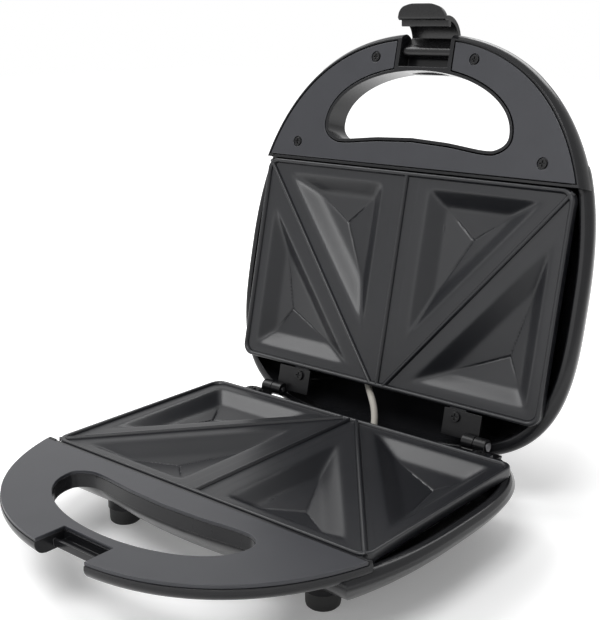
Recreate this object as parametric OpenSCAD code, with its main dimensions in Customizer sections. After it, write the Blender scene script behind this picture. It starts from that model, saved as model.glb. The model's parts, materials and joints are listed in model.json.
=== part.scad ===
// Sandwich toaster with two hinged halves, shown with the lid and the latch open.
// X is the width, Y runs from the handle (minus) to the hinge (plus), Z is up.
// The origin is on the floor under the middle of the object as it stands open.
// Both halves are drawn in one local frame: h is the depth behind the plane where the plates meet.

/* [Cooking plates] */
// Width of a cooking plate
plate_w = 220; // [205:1:250]
// Depth of a cooking plate from front to back
plate_d = 131; // [120:1:150]
// Corner radius of a cooking plate
plate_corner_r = 7; // [4:0.5:12]
// Thickness of the cast plate
plate_t = 2.4; // [2:0.1:3]
// How far the flat land lies behind the meeting plane
land_drop = 1.7; // [1.2:0.1:2.5]
// Height of the plate's side wall
plate_side_h = 6; // [5:0.5:8]
// Depth of a pocket below the land
pocket_depth = 10; // [7:0.5:12]
// Width of the raised beads on the plate
bead_w = 2.4; // [1.8:0.1:3.5]
// Half of the gap left between the two closed plates
meet_gap = 0.15; // [0.1:0.05:0.4]

/* [Casings] */
// Height of the meeting plane above the floor
meet_z = 45; // [43:0.5:50]
// Wall of the casings
wall = 2.5; // [2:0.1:3]
// Gap between a plate's side and the casing's rim
plate_gap = 5.5; // [4:0.5:8]
// How far the rim beside the plate lies behind the meeting plane
rim_drop = 6; // [5:0.5:7]
// How far the casing's side bulges past its rim
side_bulge = 4; // [3:0.5:6]
// Depth at which the casing is widest
widest_h = 11; // [9.5:0.5:12]
// Depth of the lower casing from the meeting plane
base_depth = 36; // [34:0.5:38]
// Depth of the upper casing from the meeting plane
lid_depth = 38; // [35:0.5:42]
// How far the floor of the lower casing is drawn in from its widest outline
base_draw_in = 34; // [28:1:38]
// How far the top of the upper casing is drawn in from its widest outline
lid_draw_in = 42; // [34:1:46]

/* [Handle] */
// Reach of the handle in front of the plates
handle_reach = 83; // [76:1:92]
// Thickness of the handle half on the base
base_handle_t = 9.8; // [9.6:0.1:11]
// Thickness of the handle half on the lid, at its front
lid_handle_t = 12.5; // [12:0.1:14]
// How much thicker the lid's handle half is at its back
lid_thicken = 8; // [4:0.5:10]
// Thickness of the handle covers
cover_t = 2; // [1.6:0.1:2.4]
// Half width of the finger hole
finger_half_w = 65; // [55:1:70]
// Height of the finger hole, from its side bulges to its top
finger_rise = 34.5; // [28:0.5:36]

/* [Hinge] */
// Distance of the hinge axis behind the plates
hinge_back = 16.3; // [15:0.1:20]
// How far the hinge axis lies below the meeting plane
hinge_drop = 2.8; // [2.5:0.1:3.2]
// Opening angle of the lid
lid_open = 103; // [95:1:104]
// Distance of each hinge from the middle
hinge_x = 75.7; // [70:0.1:80]
// Outer radius of a hinge knuckle
knuckle_r = 4.2; // [4:0.1:4.5]
// Length of a hinge knuckle
knuckle_l = 7.5; // [6:0.5:9]
// Radius of a hinge pin
hinge_pin_r = 1.5; // [1.2:0.1:1.8]
// Radial play of the hinge and latch pins
pin_play = 0.05; // [0.03:0.01:0.08]

/* [Latch] */
// Width of the latch
latch_w = 33; // [28:1:34]
// Width of the notch that takes the latch
notch_w = 35; // [34.6:0.1:37]
// Opening angle of the latch
latch_open = 75; // [70:1:76]
// Radius of the latch's curved back
latch_r = 15; // [14.8:0.1:15.4]
// Thickness of the latch
latch_t = 2.7; // [2.2:0.1:3]

/* [Feet] */
// Radius of a foot
foot_r = 8.8; // [7:0.1:10]
// Distance of the feet from the middle
foot_x = 72; // [66:1:74]
// Distance of the feet in front of and behind the plates' middle
foot_y = 49; // [44:1:50]

/* [Heating] */
// Radius of the tubular heating element
heater_r = 3; // [2.5:0.1:3.4]
// Thickness of the sheet-metal reflector
sheet_t = 0.8; // [0.6:0.1:1]

/* [Hidden] */

$fn = 48;
eps = 0.01;
seat_gap = 0.3;
// The plates' middle lies this far in front of the origin
open_shift = 3;

shell_black = "#1c1c1e";
satin_grey = "#5a5c60";
plate_grey = "#3b3d42";
metal = "#a8aaad";
black_steel = "#3a3a3c";

// Places along the depth of the object
hinge_y = plate_d / 2 + hinge_back;
hinge_z = meet_z - hinge_drop;
plate_front = -plate_d / 2;
front_y = plate_front - handle_reach;

// The casing's widest outline: two half superellipses that meet at its widest point
half_w = plate_w / 2 + plate_gap + wall + side_bulge;
wide_y = -3;
front_len = wide_y - front_y;
back_over = 14;
back_len = hinge_y + back_over - wide_y;
front_bow = 2.3;
front_round = 2.44;
back_bow = 3.7;
back_round = 3.2;
ring_n = 18;

function power(v, p) = sign(v) * pow(abs(v), p);
function ring_angles(n) = [for (i = [0 : 4 * n - 1]) 90 * i / n];

// One point of the outline, drawn in by k, at angle a; the front is at 270 degrees
function outline_point(a, k) = let (front = sin(a) < 0)
    [(half_w - k) * power(cos(a), 2 / (front ? front_bow : back_bow)),
     wide_y + ((front ? front_len : back_len) - k) * power(sin(a), 2 / (front ? front_round : back_round))];
function outline(k) = [for (a = ring_angles(ring_n)) outline_point(a, k)];

// The tub ends in front at the wall behind the finger hole, which bows forward in the middle
tub_front = plate_front - 14;
bow = 6;
bow_half = 56;
function tub_front_at(x) = tub_front - bow * max(0, 1 - pow(x / bow_half, 2));
function tub_outline(k) = [for (p = outline(k)) [p[0], max(p[1], tub_front_at(p[0]) + k)]];

// Rings from the rim over the widest point to the floor, each as [draw-in, depth]
rim_steps = 4;
floor_steps = 6;
function side_rings(depth, draw_in, sharp, thick) = concat(
    [for (i = [0 : rim_steps - 1]) let (a = 90 * i / rim_steps)
        [side_bulge * (1 - sin(a)) + thick, widest_h - (widest_h - rim_drop) * cos(a)]],
    [for (i = [0 : floor_steps]) let (a = 90 * i / floor_steps)
        [thick + draw_in * (1 - power(cos(a), 2 / sharp)),
         widest_h + (depth - thick - widest_h) * power(sin(a), 2 / sharp)]]);

// Closed solid through rings of equal point count, lowest depth first; the last end is a fan of triangles
module loft(rings) {
    n = len(rings[0]);
    m = len(rings);
    last = (m - 1) * n;
    polyhedron(
        points = [for (r = rings) for (p = r) p],
        faces = concat(
            [[for (i = [0 : n - 1]) i]],
            [for (j = [0 : m - 2]) for (i = [0 : n - 1]) each let (k = (i + 1) % n)
                [[j * n + i, (j + 1) * n + i, (j + 1) * n + k],
                 [j * n + i, (j + 1) * n + k, j * n + k]]],
            [for (i = [1 : n - 2]) [last, last + i + 1, last + i]]));
}

function lift(outline2d, h) = [for (p = outline2d) [p[0], p[1], h]];

base_sharp = 1.3;
lid_sharp = 1.85;

module tub_outer(depth, draw_in, sharp) {
    loft([for (r = side_rings(depth, draw_in, sharp, 0)) lift(tub_outline(r[0]), r[1])]);
}

module tub_cavity(depth, draw_in, sharp) {
    rings = side_rings(depth, draw_in, sharp, wall);
    first = tub_outline(rings[0][0]);
    loft(concat([lift(first, -1)], [for (r = rings) lift(tub_outline(r[0]), r[1])]));
}

// The handle half: a flat tray in front of the plates
cover_drop = 0.4;
cross_wall = 1.6;
handle_back = plate_front - 0.8;
cover_back = handle_back - cross_wall - 0.5;
base_lip_in = 0.9;
lid_lip_in = 2.8;
under_in = 6;
groove_w = 0.8;
base_cover_in = 0.5;
lid_cover_in = lid_lip_in + 0.9 + groove_w;
tray_in = 6;
tray_floor = 2.2;

// Rings of the handle's rounded edge from the lip to the underside, each as [draw-in, depth]
function handle_rings(t, lip) = [[lip, cover_drop], [lip * 0.3, t * 0.2], [0, t * 0.45],
    [1, t * 0.72], [under_in / 2, t * 0.91], [under_in, t]];

// Lifts an outline to depth h of a handle of thickness t that grows thicker by more towards the back
function slanted(outline2d, h, t, more) = let (slope = more / (t - cover_drop) / (handle_back - front_y))
    [for (p = outline2d) [p[0], p[1], h + slope * (h - cover_drop) * (p[1] - front_y)]];

module in_front_of(y) {
    translate([-half_w - 1, y - 2 * handle_reach, -1]) cube([2 * half_w + 2, 2 * handle_reach, meet_z]);
}

module handle_outer(t, lip, more) {
    intersection() {
        loft([for (r = handle_rings(t, lip)) slanted(outline(r[0]), r[1], t, more)]);
        in_front_of(handle_back);
    }
}

module handle_tray(t, more) {
    intersection() {
        loft([lift(outline(tray_in), cover_drop + cover_t - eps),
            slanted(outline(tray_in), t - tray_floor, t, more)]);
        in_front_of(handle_back - cross_wall);
    }
}

// Flat slice of the handle's outline, drawn in by k, in front of y
module handle_slice(k, y, low, high) {
    intersection() {
        translate([0, 0, low]) linear_extrude(high - low) polygon(outline(k));
        in_front_of(y);
    }
}

// The finger hole: a flattened half-moon whose lower edge bows like the wall behind it
finger_y = plate_front - 25.7;
finger_drop = 11.5;
finger_steps = 12;
function finger_front(a, grow) = [(finger_half_w + grow) * cos(a), finger_y + (finger_rise + grow) * sin(a)];
function finger_back(a, grow) =
    let (x = (finger_half_w + grow) * power(cos(a), 1 / 3), dip = bow * max(0, 1 - pow(x / bow_half, 2)))
    [x, finger_y + (finger_drop + grow - dip) * power(sin(a), 0.9)];
function finger_point(a, grow) = sin(a) < 0 ? finger_front(a, grow) : finger_back(a, grow);
function finger_outline(grow) = [for (a = ring_angles(finger_steps)) finger_point(a, grow)];
finger_wall = 1.8;
notch_strip = 2.2;

module finger_prism(grow, low, high) {
    translate([0, 0, low]) linear_extrude(high - low) polygon(finger_outline(grow));
}

// Latch places, in distance from the hinge axis and depth on the lid's side
notch_in = finger_y - finger_rise - notch_strip;
pivot_ahead = 9.9;
latch_pivot_y = notch_in - pivot_ahead;
latch_pivot_h = 6;
latch_pin_r = 1.25;
barrel_r = 3.6;
catch_in = notch_in - 3;
catch_out = notch_in - 9.5;
catch_low = 8.5;
back_wall_y = latch_pivot_y - 4;

// The latch notch in a handle half: walls on three sides, then the cut, then what stays in it
module notch_walls(low, high) {
    half = notch_w / 2 + wall;
    translate([-half, front_y - 1, low]) cube([2 * half, notch_in + 3 - front_y + 1, high - low]);
}

module notch_cut(t) {
    translate([-notch_w / 2, front_y - 2, -1]) cube([notch_w, notch_in - front_y + 2, t + 2]);
}

module across(width, profile) {
    translate([-width / 2, 0, 0]) rotate([90, 0, 90]) linear_extrude(width) polygon(profile);
}

// The base's catch: a sunken bar that the latch hooks under, with a trough behind it
catch_top = catch_low - 3.9;
catch_lip = 1.8;
trough_h = catch_low - 1.5;

module catch_bar(t) {
    inner = notch_in + 3;
    under_cover = cover_drop + cover_t;
    across(notch_w + 2 * eps, [[catch_out, catch_low], [catch_out, catch_top],
        [catch_out + catch_lip, catch_top], [catch_out + catch_lip, trough_h], [catch_in, trough_h],
        [catch_in, under_cover], [inner, under_cover], [inner, t - eps], [catch_in, t - eps],
        [catch_in, catch_low]]);
}

// The lid's notch keeps a low back wall that the open latch leans on
module notch_back(t, lip, more) {
    intersection() {
        handle_outer(t, lip, more);
        translate([-notch_w / 2 - eps, back_wall_y, t - tray_floor])
            cube([notch_w + 2 * eps, notch_in + 3 - back_wall_y, tray_floor + more]);
    }
}

// Handle covers and their screws
cover_screws = [[35, front_y + 15.4], [88, cover_back - 9.2]];
cover_post_r = 3.6;
screw_r = 1.4;
screw_play = 0.05;
screw_head_r = 3;
screw_head_t = 1.3;
cover_head_r = 2.6;
head_recess_r = 3.4;
cover_screw_len = 7;
plate_screw_len = 8;

module sides() {
    children();
    mirror([1, 0, 0]) children();
}

module cover_posts(high) {
    low = cover_drop + cover_t;
    sides() for (p = cover_screws) translate([p[0], p[1], low]) cylinder(r = cover_post_r, h = high - low);
}

// Walls and posts in the tray of a handle half, kept within its skin; rim is the depth of the walls' top
module handle_inside(t, lip, more, rim) {
    intersection() {
        handle_outer(t, lip, more);
        union() {
            finger_prism(finger_wall, rim, t + more);
            cover_posts(t + more);
            notch_walls(rim, t + more);
        }
    }
}

// The space for the base's cover reaches the edge; the lid's leaves a lip and a groove all round
module base_cover_space() {
    handle_slice(-1, cover_back + 0.4, -1, cover_drop + cover_t);
}

module lid_cover_space() {
    difference() {
        handle_slice(lid_cover_in - groove_w, cover_back + 0.4, -1, cover_drop + cover_t);
        finger_prism(finger_wall, -2, meet_z);
        notch_walls(-2, meet_z);
    }
}

module handle_cover(in, around, notch_y) {
    half = notch_w / 2 + (around > 0 ? wall + groove_w : 0);
    difference() {
        handle_slice(in, cover_back, cover_drop, cover_drop + cover_t);
        finger_prism(around, -1, cover_drop + cover_t + 1);
        translate([-half, front_y - 2, -1]) cube([2 * half, notch_y - front_y + 2, meet_z]);
        children();
    }
}

// Cross-head screw along +Z: its head starts at 0 and its shank follows
module screw(head_r, head_t, shank_r, length) {
    slot_w = head_r * 0.3;
    slot_l = head_r * 1.3;
    difference() {
        union() {
            cylinder(r = head_r, h = head_t);
            translate([0, 0, head_t - eps]) cylinder(r = shank_r, h = length + eps);
        }
        for (a = [0, 90]) rotate([0, 0, a])
            translate([-slot_l / 2, -slot_w / 2, -1]) cube([slot_l, slot_w, 1 + head_t * 0.6]);
    }
}

// Cooking plate: rounded tray with beads, four three-sided pockets, posts and pads behind it
corner_signs = [[1, 1, 0], [-1, 1, 90], [-1, -1, 180], [1, -1, 270]];
function rounded_rect(w, d, r) = [for (c = corner_signs) for (a = [0 : 15 : 90])
    [c[0] * (w / 2 - r) + r * cos(c[2] + a), c[1] * (d / 2 - r) + r * sin(c[2] + a)]];

module plate_slab(inset, low, high) {
    translate([0, 0, low]) linear_extrude(high - low)
        polygon(rounded_rect(plate_w - 2 * inset, plate_d - 2 * inset, plate_corner_r - inset * 0.5));
}

// A cell is half a plate; a diagonal bead parts it into two triangles
cell_w = plate_w / 2;
diag_shift = 2;
edge_margin = 8.5;
centre_margin = 17;
side_margin = 9.5;
diag_margin = 11;
tri_inner = [[0, -plate_d / 2], [cell_w, -plate_d / 2], [0, plate_d / 2]];
tri_outer = [[cell_w, -plate_d / 2], [cell_w, plate_d / 2], [0, plate_d / 2]];
margins_inner = [edge_margin, diag_margin - diag_shift, centre_margin];
margins_outer = [side_margin, edge_margin, diag_margin + diag_shift];
crease_inner = [46 / 110 * cell_w, -plate_d / 2 + 35];
crease_outer = [81 / 110 * cell_w, plate_d / 2 - 34.5];
corner_steps = 4;

// Lines through a triangle's sides, moved in by their margins, meet at the corners' centres
function normal_of(a, b) = let (d = b - a) [-d[1], d[0]] / norm(d);
function line_cross(p, n, q, m) = let (c = n[0] * m[1] - n[1] * m[0], s = p * n, t = q * m)
    [(s * m[1] - t * n[1]) / c, (n[0] * t - m[0] * s) / c];
function corner_centre(tri, margins, i, k) = let (h = (i + 2) % 3, j = (i + 1) % 3,
        n = normal_of(tri[h], tri[i]), m = normal_of(tri[i], tri[j]))
    line_cross(tri[i] + n * (margins[h] + k), n, tri[i] + m * (margins[i] + k), m);
function turn_angle(v) = atan2(v[1], v[0]);

// Rounded corner i of a triangle, of radius r about c
function corner_arc(tri, i, c, r) = let (from = turn_angle(-normal_of(tri[(i + 2) % 3], tri[i])),
        to = turn_angle(-normal_of(tri[i], tri[(i + 1) % 3])), span = (to - from + 360) % 360)
    [for (s = [0 : corner_steps]) let (a = from + span * s / corner_steps) c + r * [cos(a), sin(a)]];

// Ring of the triangle drawn in by its margins and k, and the small ring about the crease point
function tri_ring(tri, margins, k, r) = [for (i = [0 : 2])
    each corner_arc(tri, i, corner_centre(tri, margins, i, k + r), r)];
function point_ring(tri, c, r) = [for (i = [0 : 2]) each corner_arc(tri, i, c, r)];

pocket_slope = 9;
pocket_shelf = 0.62;
pocket_r = 5;
crease_r = 2;

// One pocket: a steep slope all round, then three flatter faces that meet at the crease point
module pocket(tri, margins, crease, thick) {
    low = thick > 0 ? land_drop + thick / 2 : land_drop - 1;
    shelf = pocket_shelf * pocket_depth;
    lead = thick > 0 ? 0 : pocket_slope / shelf;
    loft([lift(tri_ring(tri, margins, -thick - lead, pocket_r + thick), low),
        lift(tri_ring(tri, margins, pocket_slope - thick, pocket_r + thick), land_drop + thick + shelf),
        lift(point_ring(tri, crease, crease_r + thick), land_drop + thick + pocket_depth)]);
}

module pockets(thick) {
    sides() {
        pocket(tri_inner, margins_inner, crease_inner, thick);
        pocket(tri_outer, margins_outer, crease_outer, thick);
    }
}

module diagonal_bead() {
    a = [cell_w - 1.5, -plate_d / 2 + 1.5];
    b = [diag_shift * 2 + 1, plate_d / 2 - 1.5];
    translate([a[0], a[1], meet_gap]) rotate([0, 0, turn_angle(b - a)]) translate([0, -bead_w / 2, 0])
        cube([norm(b - a), bead_w, land_drop - meet_gap + plate_t / 2]);
}

// Behind the plate: four posts carry the reflector, and pads carry the heating element
plate_back_h = land_drop + plate_t;
heater_h = plate_back_h + pocket_depth + heater_r;
reflector_h = heater_h + heater_r + 0.1;
heater_x = plate_w / 2 - 46;
heater_front = -plate_d / 2 + 30.5;
heater_bend = 18;
heater_end_y = plate_d / 2 - 13;
post_x = heater_x - 8;
post_y = plate_d / 2 - 21;
post_r = 4.2;
pad_r = 3;
pad_places = [[heater_x, heater_end_y - 16.5], [heater_x, heater_front + 21], [heater_x - 40, heater_front]];

module at_posts() {
    sides() translate([post_x, 1.5, 0]) children();
    for (y = [-post_y, post_y]) translate([0, y, 0]) children();
}

module plate_posts() {
    at_posts() translate([0, 0, plate_back_h - 1]) cylinder(r = post_r, h = reflector_h - plate_back_h + 1);
    sides() for (p = pad_places) translate([p[0], p[1], plate_back_h - 1])
        cylinder(r = pad_r, h = heater_h - heater_r - plate_back_h + 1);
}

// Lugs at the back edge, held under the hinge screws
lug_w = 11;
lug_t = 2.4;
lug_reach = 9;
lug_y = hinge_y - hinge_back + 5;

module plate(lug_x, lug_h) {
    difference() {
        union() {
            difference() {
                union() {
                    difference() {
                        plate_slab(0, meet_gap, plate_side_h);
                        plate_slab(bead_w, meet_gap - 1, land_drop);
                        plate_slab(plate_t, plate_back_h, plate_side_h + 1);
                    }
                    intersection() {
                        plate_slab(eps, meet_gap, plate_back_h);
                        union() {
                            sides() diagonal_bead();
                            translate([-bead_w / 2, -plate_d / 2, meet_gap])
                                cube([bead_w, plate_d, land_drop - meet_gap + plate_t / 2]);
                        }
                    }
                    pockets(plate_t);
                    plate_posts();
                }
                pockets(0);
            }
            sides() translate([lug_x - lug_w / 2, plate_d / 2 - plate_t, lug_h])
                cube([lug_w, lug_reach + plate_t, lug_t]);
        }
        sides() translate([lug_x, lug_y, lug_h - 1]) cylinder(r = screw_r + screw_play, h = lug_t + 2);
        at_posts() translate([0, 0, reflector_h - 9]) cylinder(r = screw_r + screw_play, h = 10);
    }
}

// Heating element: a bent tube, open towards the back, with its terminals
pin_len = 8;

module heater() {
    translate([0, 0, heater_h]) {
        sides() {
            translate([heater_x, heater_front + heater_bend, 0]) rotate([-90, 0, 0])
                cylinder(r = heater_r, h = heater_end_y - heater_front - heater_bend);
            translate([heater_x - heater_bend, heater_front + heater_bend, 0]) rotate([0, 0, -90])
                rotate_extrude(angle = 90) translate([heater_bend, 0]) circle(r = heater_r);
            translate([heater_x, heater_end_y - eps, 0]) rotate([-90, 0, 0])
                cylinder(r = heater_r / 2, h = pin_len);
        }
        translate([heater_bend - heater_x, heater_front, 0]) rotate([0, 90, 0])
            cylinder(r = heater_r, h = 2 * (heater_x - heater_bend));
    }
}

// Reflector: a shallow sheet-metal tray behind the element
reflector_w = plate_w - 32;
reflector_d = plate_d - 23;
reflector_edge = 6;

module reflector() {
    difference() {
        translate([0, 0, reflector_h - reflector_edge]) linear_extrude(reflector_edge + sheet_t)
            polygon(rounded_rect(reflector_w, reflector_d, 8));
        translate([0, 0, reflector_h - reflector_edge - 1]) linear_extrude(reflector_edge + 1)
            polygon(rounded_rect(reflector_w - 2 * sheet_t, reflector_d - 2 * sheet_t, 8 - sheet_t));
        at_posts() translate([0, 0, reflector_h - 1]) cylinder(r = screw_r + screw_play, h = sheet_t + 2);
        sides() translate([heater_x - heater_r, heater_end_y - 1, reflector_h - reflector_edge - 1])
            cube([2 * heater_r, reflector_d / 2 - heater_end_y + 2, reflector_edge]);
    }
}

module plate_screws() {
    at_posts() translate([0, 0, reflector_h + sheet_t + screw_head_t]) mirror([0, 0, 1])
        screw(screw_head_r, screw_head_t, screw_r, plate_screw_len);
}

// Hinges: knuckles on one axis, leaves screwed to bosses of the casings
leaf_t = 1.5;
knuckle_gap = 0.25;
lid_leaf_h = knuckle_r - hinge_drop - leaf_t;
base_leaf_h = knuckle_r + hinge_drop - leaf_t;
lid_lug_h = lid_leaf_h + leaf_t;
base_lug_h = base_leaf_h - lug_t;
lid_screw_x = hinge_x - 17;
base_screw_x = hinge_x + 10;
leaf_front = hinge_y - hinge_back + 0.8;
base_leaf_out = base_screw_x + 7;

module knuckle_and_leaf(axis_h, x_in, x_out, leaf_in, leaf_out, leaf_h, screw_x) {
    difference() {
        union() {
            translate([x_in, hinge_y, axis_h]) rotate([0, 90, 0]) cylinder(r = knuckle_r, h = x_out - x_in);
            translate([leaf_in, leaf_front, leaf_h]) cube([leaf_out - leaf_in, hinge_y - leaf_front, leaf_t]);
        }
        translate([x_in - 1, hinge_y, axis_h]) rotate([0, 90, 0])
            cylinder(r = hinge_pin_r + pin_play, h = x_out - x_in + 2);
        translate([screw_x, lug_y, leaf_h - 1]) cylinder(r = screw_r + screw_play, h = leaf_t + 2);
    }
}

module lid_hinge() {
    inner = hinge_x - knuckle_l;
    outer = hinge_x - knuckle_gap;
    color(black_steel)
        knuckle_and_leaf(-hinge_drop, inner, outer, lid_screw_x - 8, outer, lid_leaf_h, lid_screw_x);
}

module base_hinge() {
    inner = hinge_x + knuckle_gap;
    outer = hinge_x + knuckle_l;
    color(black_steel)
        knuckle_and_leaf(hinge_drop, inner, outer, inner, base_leaf_out, base_leaf_h, base_screw_x);
}

// Each hinge pin has a flat head at its outer end
pin_head_r = 2.6;
pin_head_t = 0.9;

module hinge_pin() {
    translate([hinge_x - knuckle_l - 0.3, hinge_y, hinge_z]) rotate([0, 90, 0])
        cylinder(r = hinge_pin_r, h = 2 * knuckle_l + 0.3 + eps);
    translate([hinge_x + knuckle_l, hinge_y, hinge_z]) rotate([0, 90, 0])
        cylinder(r = pin_head_r, h = pin_head_t);
}

hinge_screw_len = 9;
module hinge_screws(x, h) {
    sides() translate([x, lug_y, h - screw_head_t])
        screw(screw_head_r, screw_head_t, screw_r, hinge_screw_len);
}

// Bosses inside a casing, kept within its outer skin
stand = [post_x, plate_d / 2 - 23.5];
stand_r = 4;

module bosses(depth, screw_x, boss_h) {
    stand_h = reflector_h + sheet_t;
    sides() {
        for (y = [-stand[1], stand[1]]) translate([stand[0], y, stand_h])
            cylinder(r = stand_r, h = depth - stand_h);
        translate([screw_x, lug_y, boss_h]) cylinder(r = stand_r, h = depth - boss_h);
    }
}

// A casing half with its handle; the first child is the cover's space, the others are further cuts
module shell_half(depth, draw_in, sharp, t, lip, more, rim, screw_x, boss_h) {
    difference() {
        union() {
            difference() {
                union() {
                    tub_outer(depth, draw_in, sharp);
                    handle_outer(t, lip, more);
                }
                tub_cavity(depth, draw_in, sharp);
                handle_tray(t, more);
            }
            intersection() {
                tub_outer(depth, draw_in, sharp);
                union() {
                    translate([-half_w, handle_back - cross_wall, rim_drop])
                        cube([2 * half_w, cross_wall, 8]);
                    bosses(depth, screw_x, boss_h);
                }
            }
            translate([-half_w + 11, handle_back - cross_wall, 1])
                cube([2 * half_w - 22, cross_wall, rim_drop + 1]);
            handle_inside(t, lip, more, rim);
        }
        finger_prism(0, -1, t + more + 2);
        notch_cut(t + more);
        sides() translate([screw_x, lug_y, boss_h - 1])
            cylinder(r = screw_r + screw_play, h = hinge_screw_len);
        children();
    }
}

// Base: its casing also carries the catch, the feet and the cord outlet
rear_cut_half = 85.5;
rear_cut_h = 21.5;
outlet_x = -58;
outlet_w = 17;
outlet_y = hinge_y + 5;
outlet_z = 17;
bush_r = 4.6;
bush_bore_r = 2.8;
foot_h = meet_z - base_depth;
foot_screw_len = 6;
foot_recess = 3;

foot_back_y = foot_y - 9;

module at_feet() {
    sides() for (y = [-foot_y, foot_back_y]) translate([foot_x, y, 0]) children();
}

module in_base() {
    translate([0, 0, meet_z]) mirror([0, 0, 1]) children();
}

module base_shell() {
    color(shell_black) difference() {
        union() {
            in_base() {
                shell_half(base_depth, base_draw_in, base_sharp, base_handle_t, base_lip_in, 0,
                    cover_drop + cover_t, base_screw_x, base_leaf_h + leaf_t) {
                    base_cover_space();
                    translate([-rear_cut_half, hinge_y - 4.5, -1])
                        cube([2 * rear_cut_half, back_len, rear_cut_h + 1]);
                    translate([-base_leaf_out - seat_gap, leaf_front, -1])
                        cube([2 * (base_leaf_out + seat_gap), back_len, base_leaf_h + leaf_t + 1]);
                    sides() translate([cover_screws[0][0], cover_screws[0][1], -1])
                        cylinder(r = screw_r + screw_play, h = base_handle_t + 2);
                }
                catch_bar(base_handle_t);
            }
            difference() {
                union() {
                    translate([outlet_x - outlet_w / 2, hinge_y - 20, foot_h])
                        cube([outlet_w, outlet_y - hinge_y + 20, 14.4]);
                    at_feet() translate([0, 0, foot_h]) cylinder(r = foot_r + 0.7, h = 9);
                }
                in_base() tub_cavity(base_depth, base_draw_in, base_sharp);
            }
        }
        translate([outlet_x, outlet_y + 1, outlet_z]) rotate([90, 0, 0])
            cylinder(r = bush_r + screw_play, h = 40);
        at_feet() cylinder(r = screw_r + screw_play, h = foot_h + 12);
    }
}

module cord_bush() {
    color("#202022") translate([outlet_x, outlet_y, outlet_z]) rotate([90, 0, 0]) difference() {
        union() {
            translate([0, 0, -2.5]) cylinder(r = bush_r + 1.6, h = 2.5);
            cylinder(r = bush_r, h = 12);
        }
        translate([0, 0, -4]) cylinder(r = bush_bore_r, h = 20);
    }
}

module foot(x, y) {
    color("#161617") translate([x, y, 0]) difference() {
        rotate_extrude() polygon([[0, 0], [foot_r - 1.2, 0], [foot_r - 0.3, 0.9], [foot_r, 2.4],
            [foot_r, foot_h], [0, foot_h]]);
        translate([0, 0, -1]) cylinder(r = screw_head_r + 0.4, h = foot_recess + 1);
        cylinder(r = screw_r + screw_play, h = foot_h + 1);
    }
}

module foot_screws() {
    color(metal) at_feet() translate([0, 0, foot_recess - screw_head_t])
        screw(screw_head_r, screw_head_t, screw_r, foot_h + foot_screw_len - foot_recess);
}

module base_handle_cover() {
    color(satin_grey) in_base() handle_cover(base_cover_in, 0, catch_in + seat_gap)
        sides() translate([cover_screws[0][0], cover_screws[0][1], cover_drop + 0.8])
            cylinder(r = screw_r + screw_play, h = cover_t);
}

module base_handle_screws() {
    color(black_steel) in_base() sides()
        translate([cover_screws[0][0], cover_screws[0][1], base_handle_t + screw_head_t]) mirror([0, 0, 1])
            screw(screw_head_r, screw_head_t, screw_r, base_handle_t - cover_drop - 1);
}

module base_plate() { color(plate_grey) in_base() plate(base_screw_x, base_lug_h); }
module base_heater() { color("#6b5f58") in_base() heater(); }
module base_reflector() { color(metal) in_base() reflector(); }
module base_plate_screws() { color(metal) in_base() plate_screws(); }
module base_hinge_screws() { color(black_steel) in_base() hinge_screws(base_screw_x, base_lug_h); }

// Parts on the back of the lower plate and on the floor of the lower casing
thermostat_r = 7;
thermostat_t = 7;
fuse_r = 2.2;
fuse_l = 18;
block = [30, 11, 9];

module base_thermostat() {
    color("#c9c2b0") in_base() translate([0, -8, plate_back_h]) {
        cylinder(r = thermostat_r, h = thermostat_t);
        translate([0, 0, thermostat_t - eps]) cylinder(r = 2, h = 3);
    }
}

module thermal_fuse() {
    color("#d9d4c8") in_base() translate([0, 10, plate_back_h + fuse_r]) rotate([-90, 0, 0])
        cylinder(r = fuse_r, h = fuse_l);
}

module terminal_block() {
    color("#e6e2d6") in_base() translate([-block[0] / 2 - 4, 36, base_depth - wall - block[2]])
        difference() {
            cube(block);
            for (i = [0.5 : 2.5]) translate([i * block[0] / 3, block[1] / 2, -1]) cylinder(r = 2, h = 4);
        }
}

// Lid: posed open about the hinge axis
module lid_pose() {
    translate([0, hinge_y, hinge_z]) rotate([-lid_open, 0, 0]) translate([0, -hinge_y, hinge_drop])
        children();
}

// Two lights in the lid's top, each a clear lens in a collar with a lamp behind it
lamp_x = 13;
lamp_back = 27;
lamp_y = plate_front + lamp_back;
lens_r = 3.4;
lens_rise = 0.8;
collar_len = 6;
bulb_r = 2.4;
bulb_l = 9;

module lid_shell() {
    color(shell_black) lid_pose() {
        shell_half(lid_depth, lid_draw_in, lid_sharp, lid_handle_t, lid_lip_in, lid_thicken,
            cover_drop, lid_screw_x, lid_lug_h + lug_t) {
            lid_cover_space();
            translate([-notch_w / 2 - wall + 0.5, latch_pivot_y, latch_pivot_h]) rotate([0, 90, 0])
                cylinder(r = latch_pin_r + screw_play, h = notch_w + 2 * wall - 1);
            sides() translate([lamp_x, lamp_y, lid_depth - wall - 1])
                cylinder(r = lens_r + screw_play, h = wall + 2);
            sides() for (p = cover_screws) translate([p[0], p[1], -1])
                cylinder(r = screw_r + screw_play, h = lid_handle_t - 1);
        }
        notch_back(lid_handle_t, lid_lip_in, lid_thicken);
        sides() translate([lamp_x, lamp_y, lid_depth - wall - collar_len + eps]) difference() {
            cylinder(r = lens_r + 1.6, h = collar_len);
            translate([0, 0, -1]) cylinder(r = lens_r + screw_play, h = collar_len + 2);
        }
    }
}

module lens() {
    lid_pose() translate([lamp_x, lamp_y, lid_depth - wall - 1])
        cylinder(r = lens_r, h = wall + 1 + lens_rise);
}

module indicator_lamps() {
    color("#d8c8b8") lid_pose() sides() translate([lamp_x, lamp_y, lid_depth - wall - 1 - bulb_l])
        cylinder(r = bulb_r, h = bulb_l);
}

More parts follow.
